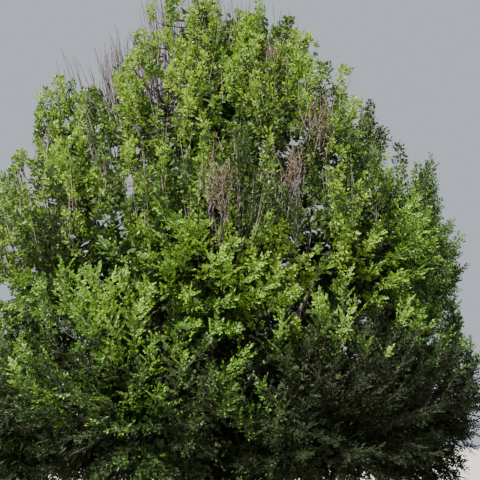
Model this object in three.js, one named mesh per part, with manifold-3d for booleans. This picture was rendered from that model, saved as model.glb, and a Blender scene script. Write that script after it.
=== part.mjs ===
// A columnar hornbeam of full age, whose crown has opened out into a broad egg shape: a whole tree,
// rooted in the ground, in leaf. Its trunk runs up through the crown and bears steep boughs in
// tiers. Each bough ends in a mass of foliage: a stem, a dense middle, and twigs that branch from
// the stem and end in leaves, each of which stands for a spray. Dead bare shoots stand out of the
// upper masses.
// Millimetres, +Z up. The origin is the middle of the flat cut under the trunk, at ground level,
// and +X is to the right of someone who looks along +Y.
import * as THREE from "three";
import { mergeVertices } from "three/addons/utils/BufferGeometryUtils.js";
import Module from "manifold-3d";

const wasm = await Module();
wasm.setup();

// Driving sizes of the trunk
const TRUNK_TOP = 8450;
const TRUNK_RADIUS = 285; // above the root flare
const TRUNK_TIP_RADIUS = 52;
const FLARE = 205; // how much the roots widen the foot
const FLARE_HEIGHT = 300;
const FLARE_LOBES = 5;
const FLARE_LOBE_DEPTH = 0.3;
const TRUNK_SIDES = 15;
const TRUNK_STEPS = 8;
const SWAY = 70; // how far the trunk wanders from a straight line

// Driving sizes of the crown. Each tier is a ring of masses round one height, which are stagger
// above and below it by turns. out, across and up are the half sizes of a mass's space along the
// crown's radius, round the crown, and in height, before its neighbours cut it short, and inward
// is how far it goes from its middle towards the trunk, where it is too dark for leaves. fork is
// the lowest and highest place on the trunk where the tier's boughs leave it. core is the dense
// middle's share of the space. leaf is the length of a leaf. facing is the way that the open side
// looks, as shares outward and up, and round how far round from there its twigs go, as a cosine.
// rise is how steeply the leaves stand. bare is the number of dead shoots on a mass, and above how
// far they stand out of it.
const TIERS = [
  { name: "skirt", count: 8, turn: 22, height: 2380, stagger: 120, radius: 3660, out: 1800, inward: 680,
    across: 2450, up: 2700, fork: [820, 1430], bough: [84, 36], core: 0.7, twigs: 12, leaf: 1900,
    facing: [1, 0.1], round: -0.15, rise: 1.5, bare: 0, above: 0 },
  { name: "wall", count: 8, turn: 0, height: 5050, stagger: 260, radius: 3460, out: 1720, inward: 680,
    across: 2350, up: 2800, fork: [1620, 2650], bough: [104, 40], core: 0.7, twigs: 12, leaf: 2000,
    facing: [1, 0.4], round: -0.15, rise: 2.2, bare: 0, above: 0 },
  { name: "shoulder", count: 6, turn: 2, height: 7600, stagger: -220, radius: 2600, out: 1540, inward: 640,
    across: 2150, up: 2600, fork: [3350, 4700], bough: [88, 36], core: 0.68, twigs: 12, leaf: 1800,
    facing: [1, 0.8], round: -0.35, rise: 2.4, bare: 2, above: 800 },
  { name: "crest", count: 5, turn: 30, height: 9750, stagger: 150, radius: 1480, out: 1060, inward: 600,
    across: 1350, up: 2050, fork: [5750, 6900], bough: [58, 28], core: 0.66, twigs: 11, leaf: 1550,
    facing: [0.5, 1], round: -0.6, rise: 2.4, bare: 2, above: 600 },
  { name: "leader", count: 1, turn: 0, height: 10100, stagger: 0, radius: 0, out: 1050, inward: 1050,
    across: 1050, up: 2000, fork: [0, 0], bough: [0, 0], core: 0.64, twigs: 12, leaf: 1550,
    facing: [0, 1], round: -0.7, rise: 2.4, bare: 3, above: 500 },
];
// The masses that stand out of the even rings, or stay behind them, as the crown's outline shows them.
const SPIRES = [
  { name: "shoulder_1", radius: -80, height: -280 },
  { name: "shoulder_4", radius: 420, height: 220 },
  { name: "shoulder_5", radius: -60, height: -330 },
  { name: "shoulder_6", radius: 0, height: 130 },
  { name: "wall_1", radius: 60, height: 260 },
  { name: "wall_5", radius: 120, height: 300 },
];
const SCATTER = { turn: 5, height: 128, radius: 90, size: 0.05 }; // how unlike the masses of a tier are

// Driving sizes inside a mass
const CLEAR = 0.3; // between pieces that meet
const CROWN_FOOT = 430; // how far the lowest leaves stay above the ground
const MASS_GAP = 24; // between neighbouring masses
const LIMB_GAP = 18; // between foliage and a limb that passes it
const LUMP = { depth: 0.13, across: 5, up: 4 }; // of a mass's dense middle
const CORNERS = 9; // the higher, the sharper a mass's edges are along its walls
const BOUGH = { inward: -0.78, down: -0.62, enters: 1.12, bend: 0.6, sag: 0.36 };
const STEM = { base: 27, tip: 15, rise: 0.62, lean: 0.12, bend: 0.42 };
const TWIG = { base: 22, tip: 12, from: 0.35 };
const LEAF = { width: 0.5, thick: 0.028, widest: 0.45, sink: 0.08, sway: 0.5, roll: 0.6, past: 1.1 };
const BARE = { base: 15, tip: 5, lean: 0.3 };
const GOLDEN = Math.PI * (3 - Math.sqrt(5));
const FULL_TURN = 2 * Math.PI;

const barkFinish = new THREE.MeshStandardMaterial({ color: 0x8a8378, roughness: 0.9, metalness: 0 });
const lowerLeaf = new THREE.MeshStandardMaterial({ color: 0x4f7a24, roughness: 0.7, metalness: 0 });
const upperLeaf = new THREE.MeshStandardMaterial({ color: 0x6b9a2c, roughness: 0.7, metalness: 0 });

const vector = (x, y, z) => new THREE.Vector3(x, y, z);
const mix = (a, b, share) => a + (b - a) * share;

// The same seed and count always give the same number from 0 to 1.
function chance(seed, count) {
  const wave = Math.sin(seed * 127.1 + count * 311.7) * 43758.5453;
  return wave - Math.floor(wave);
}

// From -1 to 1
const scatter = (seed, count) => 2 * chance(seed, count) - 1;

// A closed three.js shape as a solid that can be joined and cut
function solidOf(geometry) {
  const bare = geometry.index ? geometry.toNonIndexed() : geometry.clone();
  bare.deleteAttribute("normal");
  bare.deleteAttribute("uv");
  const merged = mergeVertices(bare, 1e-3);
  return new wasm.Manifold(
    new wasm.Mesh({
      numProp: 3,
      vertProperties: merged.attributes.position.array,
      triVerts: new Uint32Array(merged.index.array),
    }),
  );
}

// The largest body of a solid, as a three.js shape
function geometryOf(solid) {
  const body = solid.decompose().sort((a, b) => b.volume() - a.volume())[0];
  const mesh = body.getMesh();
  const geometry = new THREE.BufferGeometry();
  geometry.setAttribute("position", new THREE.BufferAttribute(mesh.vertProperties, 3));
  geometry.setIndex(new THREE.BufferAttribute(mesh.triVerts, 1));
  return geometry.toNonIndexed();
}

// Moves every corner of a shape to where place(corner) says.
function reshape(geometry, place) {
  const corners = geometry.getAttribute("position");
  const corner = new THREE.Vector3();
  for (let i = 0; i < corners.count; i++) {
    corner.fromBufferAttribute(corners, i);
    const moved = place(corner);
    corners.setXYZ(i, moved.x, moved.y, moved.z);
  }
  return geometry;
}

// Two directions square to a third
function squareTo(along) {
  const helper = Math.abs(along.z) < 0.9 ? vector(0, 0, 1) : vector(1, 0, 0);
  const side = helper.cross(along).normalize();
  return [side, vector(0, 0, 0).crossVectors(along, side)];
}

// A tapering limb with flat ends that follows a curve. The sides of its section don't twist.
function limb(curve, baseRadius, tipRadius, sides, steps) {
  const [side] = squareTo(curve.getTangent(0));
  return reshape(new THREE.CylinderGeometry(1, 1, 1, sides, steps), (corner) => {
    const share = corner.y + 0.5;
    const along = curve.getTangent(share);
    const across = side.clone().addScaledVector(along, -side.dot(along)).normalize();
    const third = vector(0, 0, 0).crossVectors(along, across);
    const radius = mix(baseRadius, tipRadius, share);
    return curve
      .getPoint(share)
      .addScaledVector(across, corner.z * radius)
      .addScaledVector(third, corner.x * radius);
  });
}

// The middle of the trunk at a height. It is over the origin at the ground.
function trunkMiddle(height) {
  return vector(SWAY * Math.sin(height / 1700), -SWAY * Math.sin(height / 2300), height);
}

function trunkRadius(height) {
  return mix(TRUNK_RADIUS, TRUNK_TIP_RADIUS, (height / TRUNK_TOP) ** 0.85);
}

// The trunk, wider by grown, with its heights closer together in the root flare
function trunkShape(grown) {
  return reshape(new THREE.CylinderGeometry(1, 1, 1, TRUNK_SIDES, TRUNK_STEPS), (corner) => {
    const share = corner.y + 0.5;
    const height = TRUNK_TOP * share ** 2.2;
    const angle = Math.atan2(corner.z, corner.x);
    const lobes = 1 + FLARE_LOBE_DEPTH * Math.sin(FLARE_LOBES * angle);
    const foot = FLARE * lobes * Math.exp(-height / FLARE_HEIGHT);
    const radius = Math.hypot(corner.x, corner.z) < 0.5 ? 0 : trunkRadius(height) + foot + grown;
    return trunkMiddle(height).add(vector(radius * Math.cos(angle), -radius * Math.sin(angle), 0));
  });
}

// The masses of all tiers, each with its middle, its half sizes and its own directions
function layOut() {
  const masses = [];
  TIERS.forEach((tier, row) => {
    for (let place = 0; place < tier.count; place++) {
      const seed = 10 * row + place + 1;
      const name = tier.count > 1 ? tier.name + "_" + (place + 1) : tier.name;
      const spire = SPIRES.find((other) => other.name === name) ?? { radius: 0, height: 0 };
      const turn = THREE.MathUtils.degToRad(
        tier.turn + (360 * place) / tier.count + SCATTER.turn * scatter(seed, 1),
      );
      const radius = tier.radius && tier.radius + SCATTER.radius * scatter(seed, 2) + spire.radius;
      const step = place % 2 ? tier.stagger : -tier.stagger;
      const height = tier.height + step + SCATTER.height * scatter(seed, 3) + spire.height;
      const size = 1 + SCATTER.size * scatter(seed, 4);
      const outward = vector(Math.cos(turn), Math.sin(turn), 0);
      masses.push({
        tier,
        seed,
        name,
        outward,
        around: vector(-outward.y, outward.x, 0),
        middle: outward.clone().multiplyScalar(radius).setZ(height),
        half: [tier.out * size, tier.across * size, tier.up * size],
        fork: mix(tier.fork[0], tier.fork[1], (place * 0.45 + 0.3) % 1),
      });
    }
  });
  return masses;
}

// A direction's shares along a mass's radius, round the crown and up
const sharesOf = (mass, way) => [way.dot(mass.outward), way.dot(mass.around), way.z];

// How far a mass reaches towards a flat wall that faces way
function support(mass, way) {
  const shares = sharesOf(mass, way);
  return Math.hypot(...shares.map((share, i) => share * mass.half[i]));
}

// The flat walls that keep each mass out of its neighbours' space, out of the dark middle of the
// crown and off the ground, as directions and distances
function addWalls(masses) {
  for (const mass of masses) {
    mass.walls = masses
      .filter((other) => other !== mass)
      .map((other) => {
        const way = other.middle.clone().sub(mass.middle);
        const apart = way.length();
        way.divideScalar(apart);
        const own = support(mass, way);
        return { way, far: (apart * own) / (own + support(other, way)) - MASS_GAP / 2 };
      });
    mass.walls.push(
      { way: mass.outward.clone().negate(), far: mass.tier.inward },
      { way: vector(0, 0, -1), far: mass.middle.z - CROWN_FOOT },
    );
  }
}

// How far the space of a mass goes from its middle in a direction, with its corners rounded
function reach(mass, way, stretch = 1) {
  const shares = sharesOf(mass, way);
  const round = stretch / Math.hypot(...shares.map((share, i) => share / mass.half[i]));
  const limits = mass.walls
    .filter((wall) => way.dot(wall.way) > 0.02)
    .map((wall) => wall.far / way.dot(wall.way));
  return [round, ...limits].reduce((sum, limit) => sum + limit ** -CORNERS, 0) ** (-1 / CORNERS);
}

// Whether a point lies in a mass's space: its rounded form stretched by share, and its walls
function inSpace(mass, point, share) {
  const offset = point.clone().sub(mass.middle);
  const shares = sharesOf(mass, offset);
  if (Math.hypot(...shares.map((value, i) => value / mass.half[i])) > share) return false;
  return mass.walls.every((wall) => offset.dot(wall.way) < wall.far);
}

// Whether a straight piece from one point to another stays clear of all the limbs
function clearOfLimbs(limbs, from, to, radius) {
  const steps = Math.ceil(from.distanceTo(to) / 60);
  for (let i = 0; i <= steps; i++) {
    const point = from.clone().lerp(to, i / steps);
    for (const other of limbs) {
      for (const [middle, thick] of other) {
        if (point.distanceTo(middle) < thick + radius + LIMB_GAP) return false;
      }
    }
  }
  return true;
}

// A limb as a string of points with its thickness at each, for the test above
function stringOf(curve, baseRadius, tipRadius, count) {
  return Array.from({ length: count + 1 }, (_, i) => [
    curve.getPoint(i / count),
    mix(baseRadius, tipRadius, i / count),
  ]);
}

// The bough of a mass leaves the trunk outwards, bends upwards and ends where it enters the mass.
function boughCurve(mass) {
  const start = trunkMiddle(mass.fork);
  const inward = mass.outward.clone().multiplyScalar(BOUGH.inward).setZ(BOUGH.down).normalize();
  const tip = mass.middle.clone().addScaledVector(inward, BOUGH.enters * reach(mass, inward));
  const bend = start.clone().lerp(tip, BOUGH.bend);
  bend.z = mix(start.z, tip.z, BOUGH.sag);
  return new THREE.QuadraticBezierCurve3(start, bend, tip);
}

// The stem carries on from the bough's tip, or the trunk's, and turns up through the mass.
function stemCurve(mass, tip, along) {
  const start = tip.clone().addScaledVector(along, CLEAR);
  const top = mass.middle.clone().addScaledVector(mass.outward, STEM.lean * mass.half[0]);
  top.z += STEM.rise * reach(mass, vector(0, 0, 1));
  const bend = start.clone().addScaledVector(along, STEM.bend * start.distanceTo(top));
  return new THREE.QuadraticBezierCurve3(start, bend, top);
}

// A leaf, which stands for a whole spray: a thin pointed blade that starts at base, goes along way
// and faces face.
function leaf(base, way, face, length) {
  const across = vector(0, 0, 0).crossVectors(face, way).normalize();
  const upward = vector(0, 0, 0).crossVectors(way, across);
  return reshape(new THREE.OctahedronGeometry(1), (corner) => {
    const end = Math.round(corner.x);
    const along = length * (end === 0 ? LEAF.widest : (end + 1) / 2);
    return base
      .clone()
      .addScaledVector(way, along)
      .addScaledVector(across, (corner.y * length * LEAF.width) / 2)
      .addScaledVector(upward, (corner.z * length * LEAF.thick) / 2);
  });
}

// The leaf at the end of a twig, turned upwards and rolled its own way. If it would leave the mass's
// space or touch a limb it is tried smaller, and then left out.
function leafOn(mass, end, outside, limbs, seed) {
  const level = vector(0, 0, 0).crossVectors(outside, vector(0, 0, 1)).normalize();
  const upward = vector(0, 0, 1).addScaledVector(outside, -outside.z);
  const way = outside
    .clone()
    .addScaledVector(upward, mass.tier.rise)
    .addScaledVector(level, LEAF.sway * scatter(seed, 7))
    .normalize();
  const face = outside.clone().addScaledVector(level, LEAF.roll * scatter(seed, 8));
  let length = mass.tier.leaf * mix(0.85, 1.15, chance(seed, 9));
  for (let tries = 0; tries < 6; tries++) {
    const base = end.clone().addScaledVector(way, -LEAF.sink * length);
    const shape = leaf(base, way, face, length);
    if (fits(mass, shape, end, limbs)) return [solidOf(shape)];
    length *= 0.85;
  }
  return [];
}

// The twigs of a mass with their leaves. They branch from the stem, each a little lower than it
// ends, as the tree's steep shoots do, and their ends lie evenly over the mass's open side.
function twigsOf(mass, stem, limbs) {
  const { facing, twigs, round, core } = mass.tier;
  const open = mass.outward.clone().multiplyScalar(facing[0]).setZ(facing[1]).normalize();
  const third = vector(0, 0, 0).crossVectors(open, mass.around);
  const first = FULL_TURN * chance(mass.seed, 5);
  const solids = [];
  for (let i = 0; i < twigs; i++) {
    const cosine = mix(1, round, (i + 0.5) / twigs);
    const sine = Math.sqrt(1 - cosine * cosine);
    const outside = open
      .clone()
      .multiplyScalar(cosine)
      .addScaledVector(mass.around, sine * Math.cos(GOLDEN * i + first))
      .addScaledVector(third, sine * Math.sin(GOLDEN * i + first));
    const from = stem.getPoint(THREE.MathUtils.clamp(0.5 + TWIG.from * outside.z, 0.2, 0.9));
    const end = mass.middle.clone().addScaledVector(outside, reach(mass, outside, core));
    const leaves = leafOn(mass, end, outside, limbs, 100 * mass.seed + i);
    if (!leaves.length || !clearOfLimbs(limbs, from, end, TWIG.base)) continue;
    solids.push(solidOf(limb(new THREE.LineCurve3(from, end), TWIG.base, TWIG.tip, 3, 1)), ...leaves);
  }
  return solids;
}

// Whether all of a leaf that starts near base lies in the mass's space and clear of the limbs
function fits(mass, shape, base, limbs) {
  const corners = shape.getAttribute("position");
  const corner = new THREE.Vector3();
  for (let i = 0; i < corners.count; i++) {
    corner.fromBufferAttribute(corners, i);
    if (!inSpace(mass, corner, LEAF.past) || !clearOfLimbs(limbs, base, corner, 12)) return false;
  }
  return true;
}

// Dead shoots that stand up out of the top of a mass, without leaves
function bareShoots(mass, stem, limbs) {
  const solids = [];
  for (let i = 0; i < mass.tier.bare; i++) {
    const turn = GOLDEN * i + FULL_TURN * chance(mass.seed, 31);
    const lean = BARE.lean * mix(0.35, 1, chance(mass.seed, 33 + i));
    const way = mass.outward
      .clone()
      .multiplyScalar(Math.cos(turn) * lean)
      .addScaledVector(mass.around, Math.sin(turn) * lean)
      .setZ(1)
      .normalize();
    const above = mass.tier.above * mix(1, 0.6, i / mass.tier.bare);
    const to = mass.middle.clone().addScaledVector(way, reach(mass, way) + above);
    const from = stem.getPoint(0.8);
    const offset = to.clone().sub(mass.middle);
    const clear = mass.walls.every((wall) => offset.dot(wall.way) < wall.far);
    if (!clear || !clearOfLimbs(limbs, from, to, BARE.base)) continue;
    solids.push(solidOf(limb(new THREE.LineCurve3(from, to), BARE.base, BARE.tip, 3, 1)));
  }
  return solids;
}

// A mass's dense middle, which its leaves stand out of: a lumpy form smaller than its space
function coreOf(mass) {
  const shape = reshape(new THREE.IcosahedronGeometry(1, 1), (corner) => {
    const way = corner.clone().normalize();
    const lumps =
      Math.sin(LUMP.across * way.x + mass.seed) *
      Math.sin(LUMP.across * way.y + 2 * mass.seed) *
      Math.sin(LUMP.up * way.z + 3);
    return mass.middle
      .clone()
      .addScaledVector(way, reach(mass, way, mass.tier.core * (1 + LUMP.depth * lumps)));
  });
  return solidOf(shape);
}

// Stem, core, twigs, leaves and bare shoots joined into one solid, with the core cut clear of the limbs
function massSolid(mass, tip, along, limbs, limbSolids) {
  const stem = stemCurve(mass, tip, along);
  const core = limbSolids.reduce((left, solid) => left.subtract(solid), coreOf(mass));
  return wasm.Manifold.union([
    core,
    solidOf(limb(stem, STEM.base, STEM.tip, 4, 3)),
    ...twigsOf(mass, stem, limbs),
    ...bareShoots(mass, stem, limbs),
  ]);
}

const tree = new THREE.Group();
const wood = new THREE.Group();
const foliage = new THREE.Group();
tree.add(wood, foliage);

function addNode(group, name, geometry, material) {
  const mesh = new THREE.Mesh(geometry, material);
  mesh.name = name;
  group.add(mesh);
}

const masses = layOut();
addWalls(masses);

const trunkCurve = { getPoint: (share) => trunkMiddle(TRUNK_TOP * share) };
addNode(wood, "trunk", trunkShape(0), barkFinish);

// Each bough is seated on the trunk: it starts inside it and is cut off just clear of its bark.
const seat = solidOf(trunkShape(CLEAR));
const limbs = [stringOf(trunkCurve, TRUNK_RADIUS, TRUNK_TIP_RADIUS, 120)];
const cutters = [solidOf(trunkShape(LIMB_GAP))];
for (const mass of masses) {
  if (mass.tier.name === "leader") continue;
  const [base, tip] = mass.tier.bough;
  mass.bough = boughCurve(mass);
  const solid = solidOf(limb(mass.bough, base, tip, 5, 4)).subtract(seat);
  addNode(wood, "bough_" + mass.name, geometryOf(solid), barkFinish);
  mass.string = stringOf(mass.bough, base, tip, 40);
  mass.cutter = solidOf(limb(mass.bough, base + LIMB_GAP, tip + LIMB_GAP, 5, 4));
  limbs.push(mass.string);
  cutters.push(mass.cutter);
}

for (const mass of masses) {
  const tip = mass.bough ? mass.bough.getPoint(1) : trunkMiddle(TRUNK_TOP);
  const along = mass.bough ? mass.bough.getTangent(1) : vector(0, 0, 1);
  const others = limbs.filter((other) => other !== mass.string);
  const solid = massSolid(mass, tip, along, others, cutters);
  const finish = ["skirt", "wall"].includes(mass.tier.name) ? lowerLeaf : upperLeaf;
  addNode(foliage, "foliage_" + mass.name, geometryOf(solid), finish);
}

export default tree;
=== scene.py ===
import math
from types import SimpleNamespace

import bpy
import numpy as np
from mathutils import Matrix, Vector


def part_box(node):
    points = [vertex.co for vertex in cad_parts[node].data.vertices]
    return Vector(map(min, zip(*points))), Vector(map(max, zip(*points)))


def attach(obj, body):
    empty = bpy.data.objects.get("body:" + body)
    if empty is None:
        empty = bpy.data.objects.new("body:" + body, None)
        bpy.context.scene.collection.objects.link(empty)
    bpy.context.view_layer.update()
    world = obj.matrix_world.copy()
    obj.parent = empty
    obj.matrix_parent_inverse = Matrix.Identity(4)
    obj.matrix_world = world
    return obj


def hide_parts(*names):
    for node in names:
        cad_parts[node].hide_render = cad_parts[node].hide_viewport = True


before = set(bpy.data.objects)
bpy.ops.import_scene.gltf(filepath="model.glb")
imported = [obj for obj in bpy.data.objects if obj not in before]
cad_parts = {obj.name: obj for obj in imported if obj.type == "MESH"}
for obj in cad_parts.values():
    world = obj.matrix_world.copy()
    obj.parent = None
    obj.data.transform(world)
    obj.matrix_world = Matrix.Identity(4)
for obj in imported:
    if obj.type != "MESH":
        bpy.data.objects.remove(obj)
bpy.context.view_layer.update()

# The viewpoint. A hand-held camera at eye height, sixteen metres from the trunk and tipped up at
# the crown, with the tree a little to the left of the middle of the frame.
IMAGE = 480
EYE = np.array([0.0, -16.0, 1.6])
PITCH = math.radians(15.0)
YAW = math.radians(1.76)
FOCAL_PIXELS = 717.0
SENSOR = 36.0
FARTHEST = 300.0

camera_data = bpy.data.cameras.new("camera")
camera_data.sensor_width = SENSOR
camera_data.lens = SENSOR * FOCAL_PIXELS / IMAGE
camera_data.clip_end = FARTHEST
camera = bpy.data.objects.new("camera", camera_data)
camera.location = EYE
camera.rotation_euler = (math.pi / 2 + PITCH, 0, -YAW)
bpy.context.scene.collection.objects.link(camera)
bpy.context.scene.camera = camera

LOOK = np.array([math.sin(YAW) * math.cos(PITCH), math.cos(YAW) * math.cos(PITCH), math.sin(PITCH)])
LOOK_RIGHT = np.array([math.cos(YAW), -math.sin(YAW), 0.0])
LOOK_UP = np.cross(LOOK_RIGHT, LOOK)


def in_picture(points):
    """Where points fall in the picture, across and down in pixels."""
    away = points - EYE
    depth = away @ LOOK
    across = IMAGE / 2 + FOCAL_PIXELS * (away @ LOOK_RIGHT) / depth
    down = IMAGE / 2 - FOCAL_PIXELS * (away @ LOOK_UP) / depth
    return across, down


# The trunk: one stem of grey hornbeam bark, smooth but fluted like a muscle, flared at the foot and
# tapering to a wrist's width high in the crown. It is rooted, and cut flat at ground level here.
TRUNK_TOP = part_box("trunk")[1].z
TRUNK_RADIUS = 0.285
TRUNK_TIP_RADIUS = 0.052
TRUNK_TAPER = 0.85
FLARE = 0.205
FLARE_HEIGHT = 0.3
FLARE_LOBES = 5
LOBE_DEPTH = 0.3
SWAY = 0.07
SWAY_LENGTHS = (1.7, 2.3)
TRUNK_SIDES = 48
TRUNK_RINGS = 90
RING_CROWDING = 1.6
FLUTES = 7
NARROW_FLUTES = 11
NARROW_SHARE = 0.5
FLUTE_DEPTH = 0.045
FLUTE_WANDER = 0.7
FLUTE_WAVES = 1.3
FLUTE_TWIST = 0.9
RIBS = 23
RIB_DEPTH = 0.012
RIB_WANDER = 5
RIB_WAVES = 2.1
BARK_ROUGHNESS = 0.82
BARK_GLOSS = 0.25
STREAK_STRETCH = 0.22
STREAK_SCALE = 3.0
STREAK_DETAIL = 6.0
STREAK_STOPS = (0.32, 0.46, 0.62)
BARK_RELIEF = 0.5
BARK_RELIEF_DEPTH = 0.01
TINY = 1e-9


def unit(ways):
    return ways / np.maximum(np.linalg.norm(ways, axis=-1, keepdims=True), TINY)


def trunk_middle(height):
    """The middle of the trunk, which sways a little to the side and to the back as it rises."""
    along_x, along_y = SWAY_LENGTHS
    return np.stack([SWAY * np.sin(height / along_x), -SWAY * np.sin(height / along_y), height], axis=-1)


def mesh_piece(name, points, corners, material, smooth=True):
    """A mesh piece from points and from the corner numbers of its faces, all of one kind."""
    sides = corners.shape[1]
    mesh = bpy.data.meshes.new(name)
    mesh.vertices.add(len(points))
    mesh.vertices.foreach_set("co", np.ascontiguousarray(points, dtype=np.float32).ravel())
    mesh.loops.add(corners.size)
    mesh.loops.foreach_set("vertex_index", np.ascontiguousarray(corners, dtype=np.int32).ravel())
    mesh.polygons.add(len(corners))
    mesh.polygons.foreach_set("loop_start", np.arange(0, corners.size, sides, dtype=np.int32))
    mesh.polygons.foreach_set("use_smooth", np.full(len(corners), smooth))
    mesh.materials.append(material)
    mesh.update()
    piece = bpy.data.objects.new(name, mesh)
    bpy.context.scene.collection.objects.link(piece)
    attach(piece, "root")
    return piece


def tube_faces(rings, sides):
    """Corner numbers of the four-sided faces of one tube whose points run ring by ring."""
    ring = np.arange(rings - 1)[:, None] * sides
    step = np.arange(sides)[None, :]
    after = (step + 1) % sides
    faces = np.stack([ring + step, ring + after, ring + sides + after, ring + sides + step], axis=-1)
    return faces.reshape(-1, 4)


def plain_finish(name, roughness, gloss):
    """A new material and its shader, with the nodes and the link call to build on."""
    material = bpy.data.materials.new(name)
    material.use_nodes = True
    nodes = material.node_tree.nodes
    shader = nodes["Principled BSDF"]
    shader.inputs["Roughness"].default_value = roughness
    shader.inputs["Specular IOR Level"].default_value = gloss
    return material, shader, nodes, material.node_tree.links.new


def add_node(nodes, kind, **values):
    """A new node, with constants on its sockets."""
    node = nodes.new(kind)
    for socket, value in values.items():
        node.inputs[socket].default_value = value
    return node


def bark(name, base, groove, pale, scale):
    """Smooth grey bark: long stretched patches of lighter grey, with dark fine grooves between."""
    material, shader, nodes, link = plain_finish(name, BARK_ROUGHNESS, BARK_GLOSS)
    place = nodes.new("ShaderNodeTexCoord")
    stretch = add_node(nodes, "ShaderNodeMapping", Scale=(scale, scale, scale * STREAK_STRETCH))
    link(place.outputs["Object"], stretch.inputs["Vector"])
    streaks = add_node(nodes, "ShaderNodeTexNoise", Scale=STREAK_SCALE, Detail=STREAK_DETAIL)
    link(stretch.outputs["Vector"], streaks.inputs["Vector"])
    shades = nodes.new("ShaderNodeValToRGB")
    in_groove, between, on_patch = STREAK_STOPS
    shades.color_ramp.elements[0].position = in_groove
    shades.color_ramp.elements[0].color = (*groove, 1)
    shades.color_ramp.elements[1].position = on_patch
    shades.color_ramp.elements[1].color = (*pale, 1)
    shades.color_ramp.elements.new(between).color = (*base, 1)
    link(streaks.outputs["Fac"], shades.inputs["Fac"])
    link(shades.outputs["Color"], shader.inputs["Base Color"])
    relief = add_node(nodes, "ShaderNodeBump", Strength=BARK_RELIEF, Distance=BARK_RELIEF_DEPTH)
    link(streaks.outputs["Fac"], relief.inputs["Height"])
    link(relief.outputs["Normal"], shader.inputs["Normal"])
    return material


old_bark = bark("old_bark", (0.16, 0.145, 0.125), (0.055, 0.048, 0.04), (0.3, 0.285, 0.26), 1.6)

heights = TRUNK_TOP * np.linspace(0, 1, TRUNK_RINGS) ** RING_CROWDING
turns = np.linspace(0, 2 * math.pi, TRUNK_SIDES, endpoint=False)
height_grid, turn_grid = np.meshgrid(heights, turns, indexing="ij")
taper = (height_grid / TRUNK_TOP) ** TRUNK_TAPER
radius_grid = TRUNK_RADIUS + (TRUNK_TIP_RADIUS - TRUNK_RADIUS) * taper
lobes = 1 + LOBE_DEPTH * np.sin(FLARE_LOBES * turn_grid)
radius_grid += FLARE * lobes * np.exp(-height_grid / FLARE_HEIGHT)
flutes = np.sin(FLUTES * turn_grid + FLUTE_WANDER * np.sin(FLUTE_WAVES * height_grid))
flutes += NARROW_SHARE * np.sin(NARROW_FLUTES * turn_grid - FLUTE_TWIST * height_grid)
ribs = np.sin(RIBS * turn_grid + RIB_WANDER * np.sin(RIB_WAVES * height_grid))
radius_grid *= 1 + FLUTE_DEPTH * flutes + RIB_DEPTH * ribs
trunk_points = trunk_middle(height_grid)
trunk_points[..., 0] += radius_grid * np.cos(turn_grid)
trunk_points[..., 1] += radius_grid * np.sin(turn_grid)
trunk = mesh_piece(
    "trunk_bark", trunk_points.reshape(-1, 3), tube_faces(TRUNK_RINGS, TRUNK_SIDES), old_bark
)
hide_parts("trunk")

# The boughs: steep grey limbs in four tiers round the trunk. Each grows out of it, bends upwards and
# runs on as the stem of one mass of the crown. The masses part the crown's outer shell between them.
TIERS = (
    dict(name="skirt", count=8, turn=22, height=2.38, stagger=0.12, radius=3.66, out=1.8, inward=0.68,
         across=2.45, up=2.7, fork=(0.82, 1.43), bough=(0.084, 0.036)),
    dict(name="wall", count=8, turn=0, height=5.05, stagger=0.26, radius=3.46, out=1.72, inward=0.68,
         across=2.35, up=2.8, fork=(1.62, 2.65), bough=(0.104, 0.04)),
    dict(name="shoulder", count=6, turn=2, height=7.6, stagger=-0.22, radius=2.6, out=1.54, inward=0.64,
         across=2.15, up=2.6, fork=(3.35, 4.7), bough=(0.088, 0.036)),
    dict(name="crest", count=5, turn=30, height=9.75, stagger=0.15, radius=1.48, out=1.06, inward=0.6,
         across=1.35, up=2.05, fork=(5.75, 6.9), bough=(0.058, 0.028)),
    dict(name="leader", count=1, turn=0, height=10.1, stagger=0, radius=0, out=1.05, inward=1.05,
         across=1.05, up=2.0, fork=(0, 0), bough=(0.052, 0.04)),
)
# How much further out and higher these masses stand than the rest of their tier.
SPIRES = {
    "shoulder_1": (-0.08, -0.28), "shoulder_4": (0.42, 0.22), "shoulder_5": (-0.06, -0.33),
    "shoulder_6": (0, 0.13), "wall_1": (0.06, 0.26), "wall_5": (0.12, 0.3),
}
SCATTER_TURN = 5
SCATTER_HEIGHT = 0.128
SCATTER_RADIUS = 0.09
SCATTER_SIZE = 0.05
CHANCE_FACTORS = (127.1, 311.7, 43758.5453)
FORK_START = 0.3
FORK_STEP = 0.45
CROWN_FOOT = 0.43
MASS_GAP = 0.024
CORNERS = 9
LEAST_FACING = 0.02
BOUGH_ENTRY = np.array([-0.78, -0.62])
BOUGH_ENTERS = 1.12
BOUGH_BEND = 0.6
BOUGH_SAG = 0.36
STEM_TIP_RADIUS = 0.013
STEM_RISE = 0.62
STEM_LEAN = 0.12
STEM_BEND = 0.42
BOUGH_SIDES = 10
BOUGH_RINGS = 26
BOUGH_WANDER = 0.02
WANDER_STEP = 0.31
BOUGH_FLUTING = 0.05
LIMB_FLUTES = ((3, 4, 1.0), (5, -6, 0.5))
NEARLY_UPRIGHT = 0.9
UP = np.array([0.0, 0.0, 1.0])


def chance(seed, count):
    """The same seed and count always give the same number from 0 to 1."""
    by_seed, by_count, spread = CHANCE_FACTORS
    wave = math.sin(seed * by_seed + count * by_count) * spread
    return wave - math.floor(wave)


def scatter(seed, count):
    return 2 * chance(seed, count) - 1


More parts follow.
